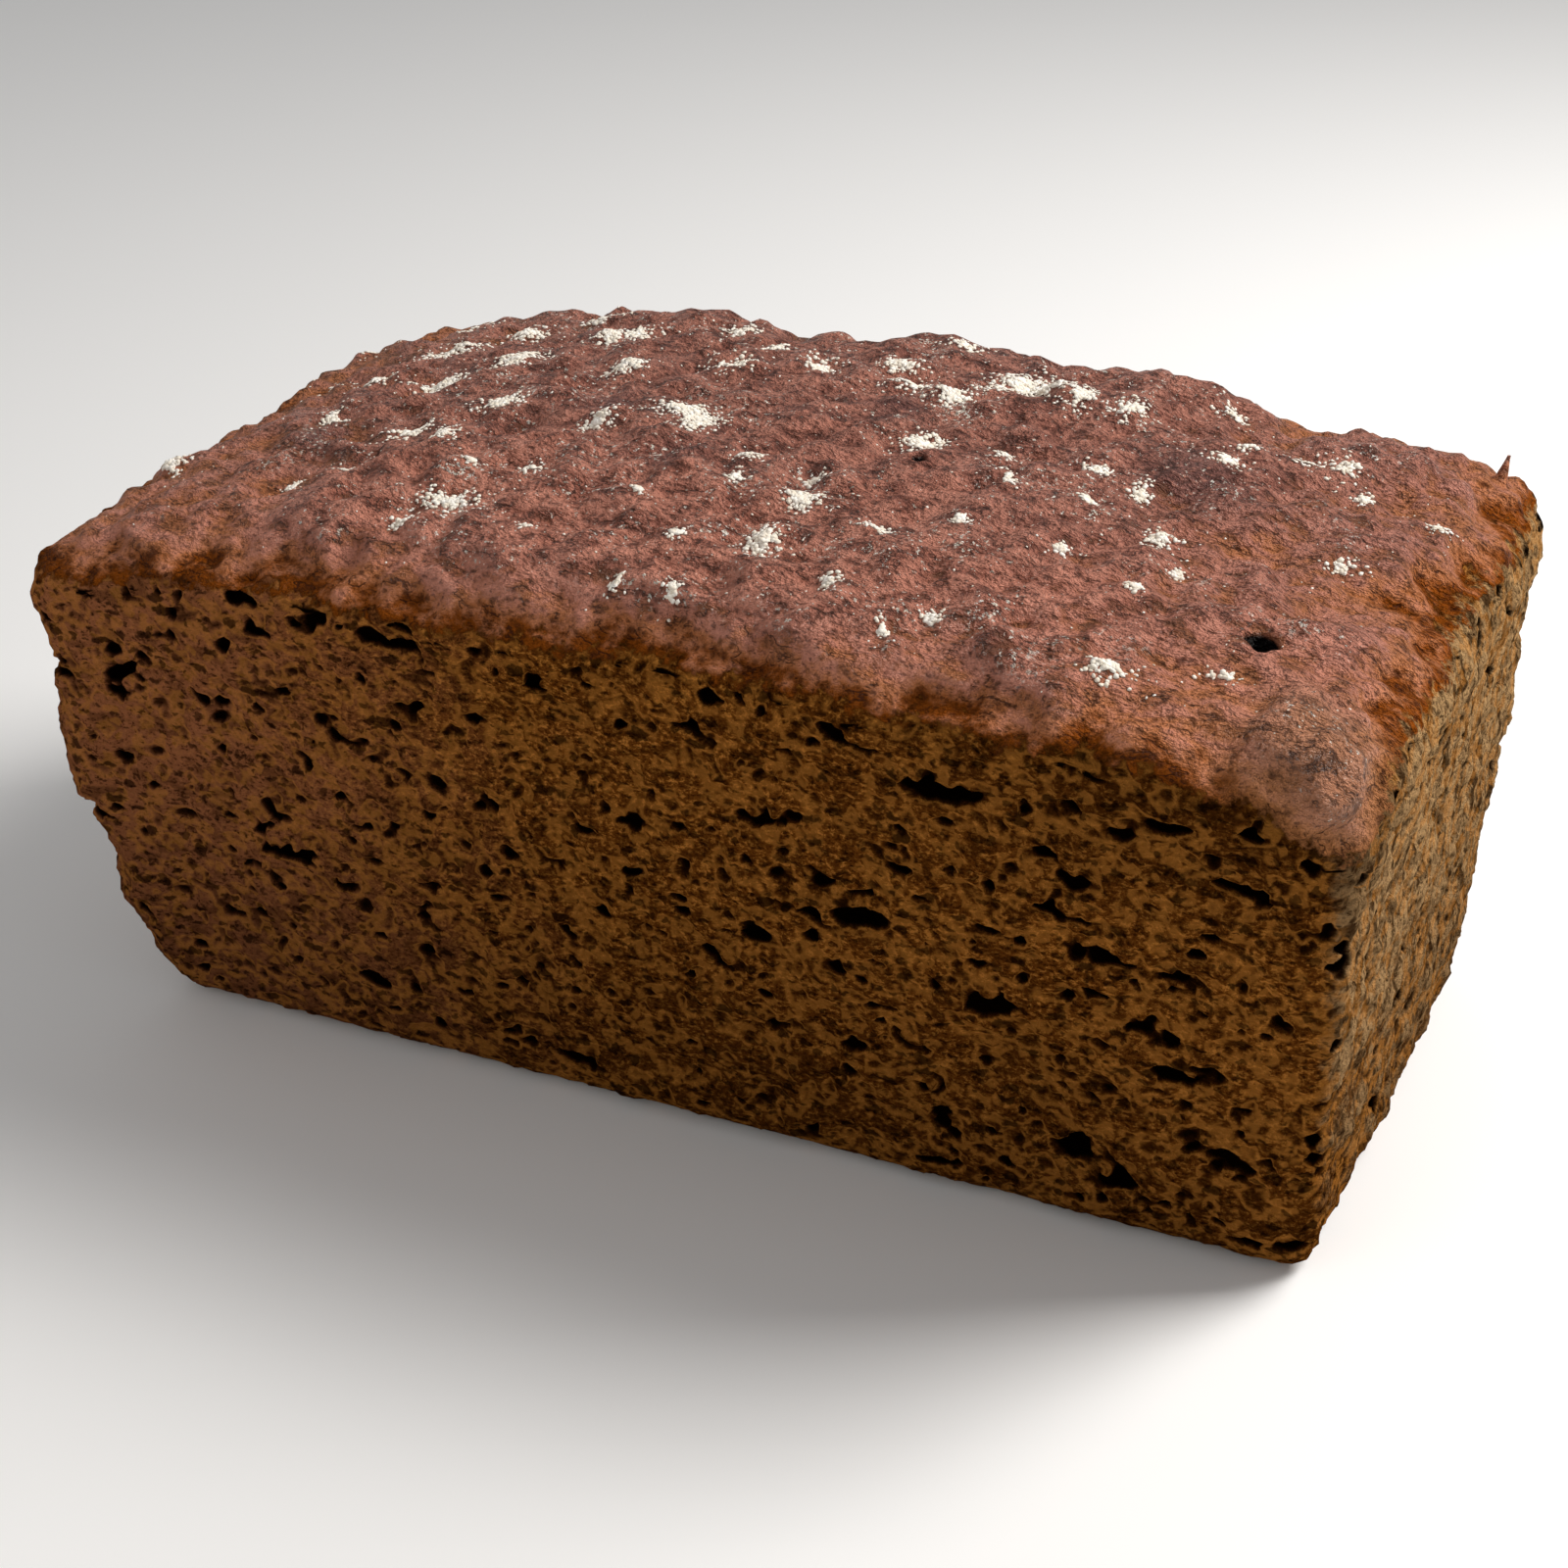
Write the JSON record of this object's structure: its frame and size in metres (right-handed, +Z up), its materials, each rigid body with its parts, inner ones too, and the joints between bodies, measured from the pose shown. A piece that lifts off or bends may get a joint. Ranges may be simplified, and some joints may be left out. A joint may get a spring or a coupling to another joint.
{
  "type": "rye loaf",
  "caption": "Whole tin-baked rye loaf, wide at the rim and narrow at the flat base, with an open-pored crumb on its sides and a flour-dusted crust on top.",
  "frame": {"origin": "middle of the loaf's footprint, on its flat base", "axes": "+X along the loaf, towards the end with the sharper corner; +Y across it, from its front side to its back side; +Z up, through the crust"},
  "size_m": [0.2208, 0.128, 0.1048],
  "materials": {
    "bread": "matte"
  },
  "bodies": {
    "root": {"rye_loaf": "bread"}
  },
  "joints": []
}
